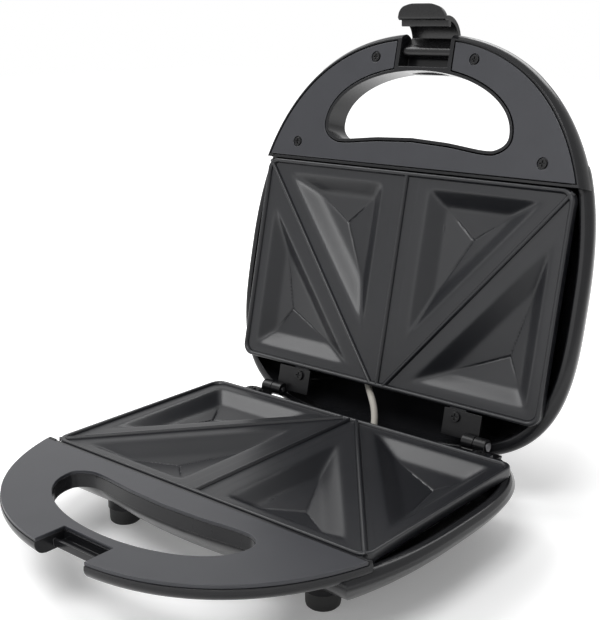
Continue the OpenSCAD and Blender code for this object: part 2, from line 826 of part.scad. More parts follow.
module lid_handle_cover() {
    color(satin_grey) lid_pose() handle_cover(lid_cover_in, finger_wall + groove_w, notch_in + 3)
        sides() for (p = cover_screws) translate([p[0], p[1], -1]) {
            cylinder(r = head_recess_r, h = 1 + cover_drop + screw_head_t);
            cylinder(r = screw_r + screw_play, h = meet_z);
        }
}

module lid_handle_screws() {
    color(black_steel) lid_pose() sides() for (p = cover_screws) translate([p[0], p[1], cover_drop])
        screw(cover_head_r, screw_head_t, screw_r, cover_screw_len);
}

module lid_plate() { color(plate_grey) lid_pose() plate(lid_screw_x, lid_lug_h); }
module lid_heater() { color("#6b5f58") lid_pose() heater(); }
module lid_reflector() { color(metal) lid_pose() reflector(); }
module lid_plate_screws() { color(metal) lid_pose() plate_screws(); }
module lid_hinge_screws() { color(black_steel) lid_pose() hinge_screws(lid_screw_x, lid_leaf_h); }

module latch_pin() {
    color(metal) lid_pose() translate([-notch_w / 2 - wall + 0.7, latch_pivot_y, latch_pivot_h])
        rotate([0, 90, 0]) cylinder(r = latch_pin_r, h = notch_w + 2 * wall - 1.4);
}

// The latch as drawn, opened by latch_drawn: distance in front of the pivot, then depth on the lid's side
latch_drawn = 75;
bend_x = 4.5;
bend_h = -8;
bend_c = [bend_x, bend_h];
bend_from = -20;
bend_to = 80;
bend_inner_to = 70;
bend_steps = 12;
tab_in = 15.9;
tab_out = 25.5;
tab_h = bend_h - 3.4;
tab_slant = 2.8;
tab_t = 2;
tab_arch_r = 38.6;
hook_out = bend_x + latch_r - latch_t;
hook_in = hook_out - 3.2;
hook_h = bend_h + 1.2;

function arc(c, r, from, to, n) =
    [for (i = [0 : n]) let (a = from + (to - from) * i / n) c + r * [cos(a), sin(a)]];

// Curved back from the barrel to the tab
module latch_back() {
    polygon(concat([[0, barrel_r - 0.1], [bend_x, barrel_r + 0.2], [bend_x + 0.2, latch_r + bend_h - 0.4]],
        arc(bend_c, latch_r, bend_to, bend_from, bend_steps),
        arc(bend_c, latch_r - latch_t, bend_from, bend_inner_to, bend_steps),
        [[barrel_r - 0.05, -0.6], [0, 0]]));
}

// Section of the thumb's tab, which slants out from the end of the back and has an arched edge
module latch_tab() {
    polygon([[tab_in + 0.3, tab_h - 0.4], [hook_out + 1.9, tab_h], [tab_out, tab_h - tab_slant],
        [tab_out - 0.6, tab_h - tab_slant - tab_t], [tab_in + 1, tab_h - tab_slant], [tab_in, tab_h - 1.2]]);
}

// Hook inside the back, which grips under the catch
module latch_hook() {
    polygon([[hook_out + 1, hook_h - 0.5], [hook_in + 0.1, hook_h + 0.55], [hook_in - 0.7, hook_h - 2.3],
        [hook_out + 0.4, hook_h - 3.5]]);
}

module latch() {
    color("#1b1b1d") lid_pose() translate([latch_w / 2, latch_pivot_y, latch_pivot_h]) rotate([90, 0, -90])
        rotate([0, 0, latch_open - latch_drawn]) difference() {
            union() {
                linear_extrude(latch_w) latch_back();
                intersection() {
                    linear_extrude(latch_w) latch_tab();
                    translate([tab_out - tab_arch_r, tab_h + 1, latch_w / 2]) rotate([90, 0, 0])
                        cylinder(r = tab_arch_r, h = tab_slant + tab_t + 2, $fn = 144);
                }
                linear_extrude(latch_w) latch_hook();
                cylinder(r = barrel_r, h = latch_w);
            }
            translate([0, 0, -1]) cylinder(r = latch_pin_r + pin_play, h = latch_w + 2);
        }
}

// Woven sleeve with the wires from the base to the lid; its route is a Bezier curve
sleeve_r = 2.1;
sleeve_steps = 16;
sleeve_sides = 8;
function lid_point(p) = let (y = p[1] - hinge_y, z = p[2] + hinge_drop)
    [p[0], hinge_y + y * cos(lid_open) + z * sin(lid_open), hinge_z - y * sin(lid_open) + z * cos(lid_open)];
sleeve_route = [lid_point([-16, plate_d / 2 - 9, 12]), lid_point([-14, plate_d / 2 + 9, 11]),
    [6, hinge_y + 3, hinge_z + 10], [13, hinge_y - 8, hinge_z - 2], [15, plate_d / 2 - 4, meet_z - 16]];
function bezier(p, t) = len(p) == 1
    ? p[0] : bezier([for (i = [0 : len(p) - 2]) p[i] * (1 - t) + p[i + 1] * t], t);
function unit(v) = v / norm(v);
function sleeve_ring(c, u, v) = [for (j = [0 : sleeve_sides - 1]) let (a = 360 * j / sleeve_sides)
    c + sleeve_r * (u * cos(a) + v * sin(a))];

module lead_sleeve() {
    path = [for (i = [0 : sleeve_steps]) bezier(sleeve_route, i / sleeve_steps)];
    color("#cfcac0") loft([for (i = [0 : sleeve_steps])
        let (d = unit(path[min(i + 1, sleeve_steps)] - path[max(i - 1, 0)]), u = unit(cross(d, [0, 1, 0.2])))
        sleeve_ring(path[i], u, cross(d, u))]);
}

module centred() {
    translate([0, -open_shift, 0]) children();
}

centred() base_shell();
centred() base_handle_cover();
centred() base_handle_screws();
centred() base_plate();
centred() base_heater();
centred() base_reflector();
centred() base_plate_screws();
centred() base_thermostat();
centred() thermal_fuse();
centred() terminal_block();
centred() cord_bush();
centred() foot(-foot_x, -foot_y);  // foot_front_left
centred() foot(foot_x, -foot_y);  // foot_front_right
centred() foot(-foot_x, foot_back_y);  // foot_back_left
centred() foot(foot_x, foot_back_y);  // foot_back_right
centred() foot_screws();
centred() mirror([1, 0, 0]) in_base() base_hinge();  // base_hinge_left
centred() in_base() base_hinge();  // base_hinge_right
centred() base_hinge_screws();
centred() color(metal) mirror([1, 0, 0]) hinge_pin();  // hinge_pin_left
centred() color(metal) hinge_pin();  // hinge_pin_right
centred() lid_shell();
centred() lid_handle_cover();
centred() lid_handle_screws();
centred() lid_plate();
centred() lid_heater();
centred() lid_reflector();
centred() lid_plate_screws();
centred() mirror([1, 0, 0]) lid_pose() lid_hinge();  // lid_hinge_left
centred() lid_pose() lid_hinge();  // lid_hinge_right
centred() lid_hinge_screws();
centred() color("#b3201a") lens();  // power_lens
centred() color("#2f9a3c") mirror([1, 0, 0]) lens();  // ready_lens
centred() indicator_lamps();
centred() latch_pin();
centred() latch();
centred() lead_sleeve();
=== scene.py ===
from collections import namedtuple
import json
import math

import bpy
import numpy as np
from mathutils import Matrix, Vector


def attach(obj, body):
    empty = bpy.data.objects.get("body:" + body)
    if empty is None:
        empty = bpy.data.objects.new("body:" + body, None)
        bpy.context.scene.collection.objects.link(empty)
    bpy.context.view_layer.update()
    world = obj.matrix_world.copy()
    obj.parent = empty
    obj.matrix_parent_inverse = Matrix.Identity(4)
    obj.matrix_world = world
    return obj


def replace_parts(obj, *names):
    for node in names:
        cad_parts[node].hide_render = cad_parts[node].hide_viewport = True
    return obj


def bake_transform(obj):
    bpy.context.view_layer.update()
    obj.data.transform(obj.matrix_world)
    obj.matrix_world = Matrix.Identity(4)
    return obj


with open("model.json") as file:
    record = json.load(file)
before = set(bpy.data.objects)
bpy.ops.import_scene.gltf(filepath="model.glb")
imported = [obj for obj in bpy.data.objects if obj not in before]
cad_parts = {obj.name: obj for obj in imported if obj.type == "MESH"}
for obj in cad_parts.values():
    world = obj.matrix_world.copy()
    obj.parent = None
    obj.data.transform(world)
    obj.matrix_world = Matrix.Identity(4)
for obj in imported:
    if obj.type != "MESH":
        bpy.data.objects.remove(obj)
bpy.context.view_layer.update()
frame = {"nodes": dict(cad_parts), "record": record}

MM = 0.001

# ---------------------------------------------------------------- sizes in millimetres
# Both halves are drawn alike: x to the right, y from the handle to the hinges with 0 in the middle of the
# plate, and h as the depth behind the plane where the two plates meet.

# cooking plates
PLATE_W = 220
PLATE_D = 131
PLATE_R = 7
PLATE_T = 2.4
PLATE_FRONT = -PLATE_D / 2
PLATE_BACK = PLATE_D / 2
LAND = 1.7  # depth of the flat land between the pockets
SIDE_H = 6
POCKET = 10  # deepest point of a pocket, behind the land
MEET_GAP = 0.15  # between the beads and the meeting plane
BACK_H = LAND + PLATE_T

# hinges, and where the halves stand
MEET_Z = 45  # height of the meeting plane when the lid is closed
SHIFT = 3  # the plates' middle lies this far in front of the origin
HINGE_X = 75.7
HINGE_Y = PLATE_BACK + 16.3
HINGE_DROP = 2.8  # from the meeting plane down to the hinge's axis, when the lid is closed
HINGE_Z = MEET_Z - HINGE_DROP
LID_OPEN = 103
KNUCKLE_R = 4.2
LEAF_T = 1.5
LUG_T = 2.4
LUG_Y = PLATE_BACK + 5
LID_LEAF_H = KNUCKLE_R - HINGE_DROP - LEAF_T
BASE_LEAF_H = KNUCKLE_R + HINGE_DROP - LEAF_T
LID_SCREW_X = HINGE_X - 17
BASE_SCREW_X = HINGE_X + 10

# The two casings. side_power and the outline's powers are those of superellipses: 2 is an ellipse and more is
# squarer. draw_in is how far the side runs in from its widest ring to the floor, lip how far the handle's rim
# is drawn in, and thicken how much thicker the handle is beside the plate than handle_t at its front.
Half = namedtuple("Half", "depth draw_in side_power handle_t lip thicken")
BASE = Half(depth=36, draw_in=34, side_power=1.3, handle_t=9.8, lip=0.9, thicken=0)
LID = Half(depth=38, draw_in=42, side_power=1.85, handle_t=12.5, lip=2.8, thicken=8)
WALL = 2.5
RIM_DROP = 6
BULGE = 4
WIDEST_H = 11
PLATE_GAP = 5.5
HALF_W = PLATE_W / 2 + PLATE_GAP + WALL + BULGE
WIDE_Y = -3
FRONT_Y = PLATE_FRONT - 83
FRONT_LEN = WIDE_Y - FRONT_Y
BACK_LEN = HINGE_Y + 14 - WIDE_Y
FRONT_POWERS = (2.3, 2.44)
BACK_POWERS = (3.7, 3.2)
TUB_FRONT = PLATE_FRONT - 14
BOW = 6  # the front of the tub bows forward by this, over BOW_HALF on either side of the middle
BOW_HALF = 56
HINGE_BOSS_R = 4

# handle halves and their covers
CROSS_WALL = 1.6
CROSS_WALL_H = 8
HIGH_WALL_IN = 11
HIGH_WALL_TOP = 1
HANDLE_BACK = PLATE_FRONT - 0.8
UNDER_IN = 6  # from the handle's edge in to its flat outer face
TRAY_IN = 6  # and in to its hollow
TRAY_FLOOR = 2.2
COVER_DROP = 0.4  # depth of the cover's face
COVER_T = 2
COVER_H = COVER_DROP + COVER_T
COVER_BACK = HANDLE_BACK - CROSS_WALL - 0.5
COVER_PLAY = 0.4
GROOVE = 0.8
BASE_COVER_IN = 0.5
LID_COVER_IN = LID.lip + 0.9 + GROOVE
COVER_SCREWS = [(side * x, y) for x, y in ((35, FRONT_Y + 15.4), (88, COVER_BACK - 9.2))
                for side in (1, -1)]
COVER_POST_R = 3.6
RECESS_R = 3.4
RECESS_FLOOR = 1.7

# finger hole, latch notch and catch
FINGER_HALF = 65
FINGER_RISE = 34.5  # from FINGER_Y to the front
FINGER_DROP = 11.5  # and to the back
FINGER_BACK_POWER = 3
FINGER_BACK_RISE = 0.9
FINGER_Y = PLATE_FRONT - 25.7
FINGER_WALL = 1.8
NOTCH_HALF = 17.5
NOTCH_IN = FINGER_Y - FINGER_RISE - 2.2  # where the notch ends, a strip in front of the finger hole
NOTCH_WALL = 3
PIVOT_Y = NOTCH_IN - 9.9
PIVOT_H = 6
BARREL_R = 3.6
CATCH_IN = NOTCH_IN - 3
CATCH_OUT = NOTCH_IN - 9.5
CATCH_LOW = 8.5
CATCH_TOP = CATCH_LOW - 3.9
CATCH_LIP = 1.8
TROUGH_H = CATCH_LOW - 1.5
BACK_WALL_Y = PIVOT_Y - 4

PAST = 1  # how far a cutting tool reaches past what it cuts
FAR = 170  # and how far to the front, past the whole handle
EPS = 0.01  # how far joined pieces reach into each other


# ---------------------------------------------------------------- the two halves in the row frame
def in_base(p):
    """Points (x, y, h) of the lower half in the row frame, in millimetres."""
    p = np.asarray(p, float)
    return np.stack([p[:, 0], p[:, 1] - SHIFT, MEET_Z - p[:, 2]], 1)


def in_lid(p):
    """Points (x, y, h) of the upper half, open, in the row frame, in millimetres."""
    p = np.asarray(p, float)
    a = math.radians(LID_OPEN)
    y = p[:, 1] - HINGE_Y
    z = p[:, 2] + HINGE_DROP
    return np.stack([p[:, 0], HINGE_Y - SHIFT + y * math.cos(a) + z * math.sin(a),
                     HINGE_Z - y * math.sin(a) + z * math.cos(a)], 1)


# each body's place, and whether it mirrors what is drawn
POSES = {"base": (in_base, True), "lid": (in_lid, False), "latch": (in_lid, False)}


# ---------------------------------------------------------------- outlines
def power(v, p):
    return np.sign(v) * np.abs(v) ** p


def full_turn(n):
    """Cosines and sines of 4 n steps round a circle, with true noughts on the axes."""
    a = np.arange(4 * n) * math.pi / (2 * n)
    c, s = np.cos(a), np.sin(a)
    c[np.abs(c) < 1e-12] = 0
    s[np.abs(s) < 1e-12] = 0
    return c, s


def circle(x, y, r, n):
    a = np.arange(n) * 2 * math.pi / n
    return np.column_stack([x + r * np.cos(a), y + r * np.sin(a)])


def outline(k, n=56):
    """The casing's widest outline, drawn in by k, anticlockwise."""
    c, s = full_turn(n)
    front = s < 0
    x = (HALF_W - k) * power(c, 2 / np.where(front, FRONT_POWERS[0], BACK_POWERS[0]))
    y = np.where(front, WIDE_Y + (FRONT_LEN - k) * power(s, 2 / FRONT_POWERS[1]),
                 WIDE_Y + (BACK_LEN - k) * power(s, 2 / BACK_POWERS[1]))
    return np.stack([x, y], 1)


def bow_at(x):
    """How far the front of the tub, and the finger hole beside it, bow forward."""
    return BOW * np.maximum(0, 1 - (x / BOW_HALF) ** 2)


def tub_outline(k):
    """The outline with its handle end cut off along the tub's bowed front."""
    p = outline(k)
    p[:, 1] = np.maximum(p[:, 1], TUB_FRONT - bow_at(p[:, 0]) + k)
    return p


def side_rings(half, thick):
    """Rings of the casing's side from its rim to its floor, each (draw-in, depth)."""
    rings = []
    rim_steps = 8
    for i in range(rim_steps):
        a = math.pi / 2 * i / rim_steps
        rings.append((BULGE * (1 - math.sin(a)) + thick, WIDEST_H - (WIDEST_H - RIM_DROP) * math.cos(a)))
    floor_steps = 18
    p = 2 / half.side_power
    for i in range(floor_steps + 1):
        a = math.pi / 2 * i / floor_steps
        c = max(0, math.cos(a)) if i < floor_steps else 0
        rings.append((thick + half.draw_in * (1 - c ** p),
                      WIDEST_H + (half.depth - thick - WIDEST_H) * math.sin(a) ** p))
    return rings


def finger_outline(grow, n=28):
    """The finger hole: an ellipse in front, and a squarer bowed edge towards the plate."""
    c, s = full_turn(n)
    front = s < 0
    x = (FINGER_HALF + grow) * np.where(front, c, power(c, 1 / FINGER_BACK_POWER))
    rise = np.abs(s) ** FINGER_BACK_RISE
    back_y = FINGER_Y + (FINGER_DROP + grow) * rise - rise * bow_at(x)
    return np.stack([x, np.where(front, FINGER_Y + (FINGER_RISE + grow) * s, back_y)], 1)


def rounded_rect(w, d, r, n=10):
    out = []
    for cx, cy, start in ((1, 1, 0), (-1, 1, 90), (-1, -1, 180), (1, -1, 270)):
        for i in range(n + 1):
            a = math.radians(start + 90 * i / n)
            out.append((cx * (w / 2 - r) + r * math.cos(a), cy * (d / 2 - r) + r * math.sin(a)))
    return np.array(out)


def rectangle(lo, hi):
    return np.array([(lo[0], lo[1]), (hi[0], lo[1]), (hi[0], hi[1]), (lo[0], hi[1])])


# ---------------------------------------------------------------- solids in millimetres
def new_object(name, data):
    obj = bpy.data.objects.new(name, data)
    bpy.context.scene.collection.objects.link(obj)
    return obj


def solid(verts, faces, name="tool"):
    mesh = bpy.data.meshes.new(name)
    mesh.from_pydata([tuple(map(float, v)) for v in verts], [], [tuple(int(i) for i in f) for f in faces])
    return new_object(name, mesh)


def lift(outline2d, h):
    return np.column_stack([outline2d, np.full(len(outline2d), float(h))])


def ring_faces(n, rings):
    """Faces between rings of n points each that lie one on another."""
    return [(j * n + i, j * n + (i + 1) % n, (j + 1) * n + (i + 1) % n, (j + 1) * n + i)
            for j in range(rings - 1) for i in range(n)]


def loft_data(rings):
    """Vertices and faces of a closed loft through rings of equal length."""
    n = len(rings[0])
    last = (len(rings) - 1) * n
    caps = [tuple(range(n))[::-1], tuple(range(last, last + n))]
    return np.vstack(rings), ring_faces(n, len(rings)) + caps


def loft(rings):
    return solid(*loft_data(rings))


def prism_data(outline2d, low, high):
    return loft_data([lift(outline2d, low), lift(outline2d, high)])


def prism(outline2d, low, high):
    return solid(*prism_data(outline2d, low, high))


def block(lo, hi):
    return prism(rectangle(lo, hi), lo[2], hi[2])


def rod(x, y, r, low, high):
    return prism(circle(x, y, r, 40), low, high)


def across(width, profile):
    """A prism along X whose section is a list of (y, h) points."""
    n = len(profile)
    verts = [(x, y, h) for x in (-width / 2, width / 2) for y, h in profile]
    faces = [tuple(range(n))[::-1], tuple(range(n, 2 * n))] + ring_faces(n, 2)
    obj = solid(verts, faces)
    twice_area = sum(a[0] * b[1] - b[0] * a[1] for a, b in zip(profile, profile[1:] + profile[:1]))
    if twice_area < 0:
        obj.data.flip_normals()
    return obj


def evaluated(obj):
    """A new mesh of an object as its modifiers or its curve's bevel make it."""
    return bpy.data.meshes.new_from_object(obj.evaluated_get(bpy.context.evaluated_depsgraph_get()))


def combine(a, b, how):
    mod = a.modifiers.new("csg", "BOOLEAN")
    mod.operation, mod.object, mod.solver = how, b, "MANIFOLD"
    mesh = evaluated(a)
    a.modifiers.clear()
    old, a.data = a.data, mesh
    bpy.data.meshes.remove(old)
    bpy.data.objects.remove(b)
    return a


def add(a, *others):
    for b in others:
        combine(a, b, "UNION")
    return a


def cut(a, *others):
    for b in others:
        combine(a, b, "DIFFERENCE")
    return a


def meet(a, b):
    return combine(a, b, "INTERSECT")


def in_front(piece, y, low, high):
    """The part of a piece in front of y that lies between two depths."""
    return meet(piece, block((-HALF_W - PAST, y - FAR, low - PAST), (HALF_W + PAST, y, high + PAST)))


def taken_apart(obj):
    """Vertices and faces of an object, which is removed."""
    verts = [tuple(v.co) for v in obj.data.vertices]
    faces = [tuple(p.vertices) for p in obj.data.polygons]
    bpy.data.meshes.remove(obj.data)
    return verts, faces


def merged(name, parts):
    """One object of several (vertices, faces)."""
    verts, faces = [], []
    for v, f in parts:
        faces += [tuple(len(verts) + int(i) for i in face) for face in f]
        verts += list(v)
    return solid(verts, faces, name)


def smooth(mesh, degrees):
    """Smooth shading, but for edges sharper than an angle."""
    mesh.shade_smooth()
    mesh.set_sharp_from_angle(angle=math.radians(degrees))


def place(obj, name, body, material, degrees=30):
    """Moves a local solid into the row frame in metres, and makes it a piece of the object."""
    pose, mirrored = POSES[body]
    mesh = obj.data
    co = np.empty(len(mesh.vertices) * 3)
    mesh.vertices.foreach_get("co", co)
    mesh.vertices.foreach_set("co", (pose(co.reshape(-1, 3)) * MM).ravel())
    if mirrored:
        mesh.flip_normals()
    obj.name = mesh.name = name
    mesh.materials.clear()
    mesh.materials.append(material)
    smooth(mesh, degrees)
    mesh.update()
    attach(obj, body)
    return obj


# ---------------------------------------------------------------- materials
def node(tree, kind, **inputs):
    """A new shader node with values on its inputs, where an underscore stands for a space."""
    n = tree.nodes.new(kind)
    for key, value in inputs.items():
        n.inputs[key.replace("_", " ")].default_value = value
    return n


def surface(name, colour, other, rough, metallic=0.0, specular=0.5, grain=900.0, grain_depth=0.00002,
            patches=60.0, rough_swing=0.08, edge=0.0004, transmission=0.0, sheen=0.0, stretch=(1, 1, 1),
            ior=1.5):
    """Procedural material: two colours in soft patches, uneven gloss, fine grain and softened edges."""
    mat = bpy.data.materials.new(name)
    mat.use_nodes = True
    tree = mat.node_tree
    tree.nodes.clear()
    link = tree.links.new
    out = node(tree, "ShaderNodeOutputMaterial")
    bsdf = node(tree, "ShaderNodeBsdfPrincipled", Metallic=metallic, Specular_IOR_Level=specular, IOR=ior,
                Transmission_Weight=transmission, Sheen_Weight=sheen)
    link(bsdf.outputs["BSDF"], out.inputs["Surface"])

    spot = node(tree, "ShaderNodeTexCoord")
    mapping = node(tree, "ShaderNodeMapping", Scale=stretch)
    link(spot.outputs["Object"], mapping.inputs["Vector"])
    big = node(tree, "ShaderNodeTexNoise", Scale=patches, Detail=3.0, Roughness=0.55)
    fine = node(tree, "ShaderNodeTexNoise", Scale=grain, Detail=2.0, Roughness=0.6)
    for noise in (big, fine):
        link(mapping.outputs["Vector"], noise.inputs["Vector"])

    share = node(tree, "ShaderNodeMapRange", From_Min=0.35, From_Max=0.65, To_Max=0.5)
    link(big.outputs["Fac"], share.inputs["Value"])
    mix = node(tree, "ShaderNodeMix")
    mix.data_type = "RGBA"
    mix.inputs["A"].default_value = (*colour, 1)
    mix.inputs["B"].default_value = (*other, 1)
    link(share.outputs["Result"], mix.inputs["Factor"])
    link(mix.outputs["Result"], bsdf.inputs["Base Color"])

    gloss = node(tree, "ShaderNodeMapRange", To_Min=rough - rough_swing, To_Max=rough + rough_swing)
    link(fine.outputs["Fac"], gloss.inputs["Value"])
    link(gloss.outputs["Result"], bsdf.inputs["Roughness"])

    bump = node(tree, "ShaderNodeBump", Strength=0.6, Distance=grain_depth)
    link(fine.outputs["Fac"], bump.inputs["Height"])
    bevel = node(tree, "ShaderNodeBevel", Radius=edge)
    bevel.samples = 6
    link(bevel.outputs["Normal"], bump.inputs["Normal"])
    link(bump.outputs["Normal"], bsdf.inputs["Normal"])
    return mat


MATS = {
    "casing": surface(
        "casing_gloss", (0.0095, 0.0097, 0.011), (0.013, 0.0132, 0.0145), rough=0.2, rough_swing=0.04,
        ior=1.33, grain=700, grain_depth=0.000006, edge=0.0006),
    "handle_cover": surface(
        "cover_satin", (0.026, 0.027, 0.032), (0.032, 0.033, 0.039), rough=0.36, rough_swing=0.05,
        specular=0.4, grain=2600, grain_depth=0.00003),
    "plate": surface(
        "plate_coating", (0.008, 0.0085, 0.0105), (0.012, 0.0125, 0.015), rough=0.35, rough_swing=0.06,
        specular=0.4, grain=1800, grain_depth=0.00003, patches=45),
    "element": surface(
        "element_tube", (0.2, 0.17, 0.15), (0.12, 0.1, 0.09), rough=0.5, metallic=1.0, patches=120),
    "sheet": surface(
        "reflector_sheet", (0.6, 0.6, 0.61), (0.5, 0.5, 0.52), rough=0.35, metallic=1.0, stretch=(1, 12, 1)),
    "ceramic": surface("thermostat_ceramic", (0.62, 0.58, 0.5), (0.52, 0.48, 0.42), rough=0.6),
    "block": surface("terminal_plastic", (0.75, 0.73, 0.66), (0.68, 0.66, 0.6), rough=0.5),
    "soft_black": surface(
        "foot_rubber", (0.014, 0.014, 0.014), (0.024, 0.024, 0.024), rough=0.62, grain=1500,
        grain_depth=0.00005),
    "lens_red": surface("lens_red", (0.5, 0.012, 0.01), (0.42, 0.01, 0.01), rough=0.12, transmission=0.35),
    "lens_green": surface("lens_green", (0.02, 0.3, 0.05), (0.02, 0.24, 0.04), rough=0.12, transmission=0.35),
    "lamp": surface("lamp_glass", (0.75, 0.66, 0.56), (0.7, 0.6, 0.5), rough=0.1, transmission=0.4),
    "latch": surface(
        "latch_satin", (0.004, 0.004, 0.0045), (0.006, 0.006, 0.0065), rough=0.26, ior=1.4, grain=2000,
        grain_depth=0.00001),
    "sleeve": surface(
        "sleeve_woven", (0.4, 0.38, 0.34), (0.3, 0.28, 0.25), rough=0.7, grain=2400, grain_depth=0.0002,
        sheen=0.2),
    "black_steel": surface(
        "blackened_steel", (0.004, 0.004, 0.0045), (0.007, 0.007, 0.008), rough=0.3, ior=1.33, grain=1500,
        stretch=(1, 1, 6)),
    "steel": surface(
        "plated_steel", (0.12, 0.12, 0.125), (0.09, 0.09, 0.095), rough=0.45, metallic=1.0, grain=1500,
        stretch=(1, 1, 6)),
}
for sub in frame["record"]["subparts"]:
    obj = frame["nodes"][sub["node"]]
    obj.data.materials.clear()
    obj.data.materials.append(MATS[sub["material_slot"]])
    smooth(obj.data, 30)


# ---------------------------------------------------------------- casings with their handle halves
REAR_CUT_HALF = 85.5  # the opening in the base's back wall
REAR_CUT_H = 21.5
REAR_CUT_Y = HINGE_Y - 4.5
LEAF_SLOT_OUT = 7.3  # the slot for the hinge leaves reaches this far past their screws
LEAF_SLOT_Y = HINGE_Y - 15.5
BEHIND_Y = HINGE_Y + 30
OUTLET_X = -58  # the cord's outlet
OUTLET_W = 17
OUTLET_H = 14.4
OUTLET_FRONT_Y = HINGE_Y - 20
OUTLET_BACK_Y = HINGE_Y + 5
FOOT_PLACES = [(side * 72, y) for side in (1, -1) for y in (-49, 40)]
FOOT_BOSS_R = 9.5
FOOT_BOSS_H = 9
LENS_X = 13
LENS_Y = PLATE_FRONT + 27
LENS_BORE_R = 3.45
LENS_BORE_H = 4


def spline_rings(points, steps=4):
    """Catmull-Rom curve through a profile's points."""
    p = np.array(points, float)
    p = np.vstack([2 * p[0] - p[1], p, 2 * p[-1] - p[-2]])
    out = []
    for before, a, b, after in zip(p, p[1:], p[2:], p[3:]):
        for t in np.arange(steps) / steps:
            out.append(0.5 * (2 * a + (b - before) * t + (2 * before - 5 * a + 4 * b - after) * t ** 2
                              + (3 * a - before - 3 * b + after) * t ** 3))
    return out + [p[-2]]


def tub(half):
    return loft([lift(tub_outline(k), h) for k, h in side_rings(half, 0)])


def tub_hollow(half):
    rings = side_rings(half, WALL)
    return loft([lift(tub_outline(rings[0][0]), -PAST)] + [lift(tub_outline(k), h) for k, h in rings])


def slanted(outline2d, h, half):
    """Lifts an outline to depth h of a handle that grows thicker towards the back."""
    slope = half.thicken * (h - COVER_DROP) / (half.handle_t - COVER_DROP) / (HANDLE_BACK - FRONT_Y)
    return np.column_stack([outline2d, h + slope * (outline2d[:, 1] - FRONT_Y)])


def back_depth(half):
    """Depth of the handle half at its back, where it is thickest."""
    return half.handle_t + half.thicken


def handle_body(half):
    t = half.handle_t
    profile = [(half.lip, COVER_DROP), (half.lip * 0.3, t * 0.2), (0, t * 0.45), (1, t * 0.72),
               (UNDER_IN / 2, t * 0.91), (UNDER_IN, t)]
    body = loft([slanted(outline(k), h, half) for k, h in spline_rings(profile)])
    return in_front(body, HANDLE_BACK, 0, back_depth(half))


def handle_tray(half):
    """The room inside a handle half."""
    hollow = loft([lift(outline(TRAY_IN), COVER_H - EPS),
                   slanted(outline(TRAY_IN), half.handle_t - TRAY_FLOOR, half)])
    return in_front(hollow, HANDLE_BACK - CROSS_WALL, 0, back_depth(half))


def cover_room(draw_in):
    """The room that a handle cover takes out of its casing."""
    return in_front(prism(outline(draw_in), -PAST, COVER_H), COVER_BACK + COVER_PLAY, -PAST, COVER_H)


def notch_block(low, high):
    """The walls round the latch's notch, before the notch is cut."""
    half_w = NOTCH_HALF + WALL
    return block((-half_w, FRONT_Y - PAST, low), (half_w, NOTCH_IN + NOTCH_WALL, high))


def casing(half, rim, room, screw_x, boss_low):
    """The tub and handle of one half as one shell, with its inner walls and bosses.

    The walls round the finger hole and the notch start at depth rim, room is taken out for the cover, and the
    hinge screws' bosses at screw_x start at depth boss_low.
    """
    back_h = back_depth(half)
    shell = add(tub(half), handle_body(half))
    cut(shell, tub_hollow(half), handle_tray(half))
    wall_y = HANDLE_BACK - CROSS_WALL
    inner = block((-HALF_W, wall_y, RIM_DROP), (HALF_W, HANDLE_BACK, RIM_DROP + CROSS_WALL_H))
    add(inner, *[rod(side * screw_x, LUG_Y, HINGE_BOSS_R, boss_low, half.depth) for side in (1, -1)])
    fittings = add(prism(finger_outline(FINGER_WALL), rim, back_h), notch_block(rim, back_h),
                   *[rod(x, y, COVER_POST_R, COVER_H, back_h) for x, y in COVER_SCREWS])
    high_half = HALF_W - HIGH_WALL_IN
    high_wall = block((-high_half, wall_y, HIGH_WALL_TOP), (high_half, HANDLE_BACK, RIM_DROP + 2))
    add(shell, meet(inner, tub(half)), high_wall, meet(fittings, handle_body(half)))
    return cut(shell, room, prism(finger_outline(0), -PAST, back_h + 2 * PAST),
               block((-NOTCH_HALF, FRONT_Y - 2 * PAST, -PAST), (NOTCH_HALF, NOTCH_IN, back_h + PAST)))


def catch():
    """The bar in the base's notch that the latch hooks under, and the trough behind it."""
    top = CATCH_TOP
    lip = CATCH_OUT + CATCH_LIP
    wall = NOTCH_IN + NOTCH_WALL
    under = BASE.handle_t - EPS
    bar = [(CATCH_OUT + 0.5, CATCH_LOW), (CATCH_OUT, CATCH_LOW - 0.5), (CATCH_OUT, top + 0.5),
           (CATCH_OUT + 0.2, top + 0.1), (CATCH_OUT + 0.6, top), (lip - 0.3, top), (lip, top + 0.3)]
    trough = [(lip, TROUGH_H), (CATCH_IN, TROUGH_H), (CATCH_IN, COVER_H), (wall, COVER_H), (wall, under),
              (CATCH_IN, under), (CATCH_IN, CATCH_LOW)]
    return across(2 * (NOTCH_HALF + EPS), bar + trough)


def base_bosses():
    """The cord outlet's block and the feet's bosses, less what would stand in the tub's hollow."""
    bosses = block((OUTLET_X - OUTLET_W / 2, OUTLET_FRONT_Y, BASE.depth - OUTLET_H),
                   (OUTLET_X + OUTLET_W / 2, OUTLET_BACK_Y, BASE.depth))
    add(bosses, *[rod(x, y, FOOT_BOSS_R, BASE.depth - FOOT_BOSS_H, BASE.depth) for x, y in FOOT_PLACES])
    return cut(bosses, tub_hollow(BASE))


def base_casing():
    leaf_back = BASE_LEAF_H + LEAF_T
    shell = casing(BASE, COVER_H, cover_room(-PAST), BASE_SCREW_X, leaf_back)
    slot_half = BASE_SCREW_X + LEAF_SLOT_OUT
    cut(shell, block((-REAR_CUT_HALF, REAR_CUT_Y, -PAST), (REAR_CUT_HALF, BEHIND_Y, REAR_CUT_H)),
        block((-slot_half, LEAF_SLOT_Y, -PAST), (slot_half, BEHIND_Y, leaf_back)))
    add(shell, catch(), base_bosses())
    return place(shell, "base_casing", "base", MATS["casing"])


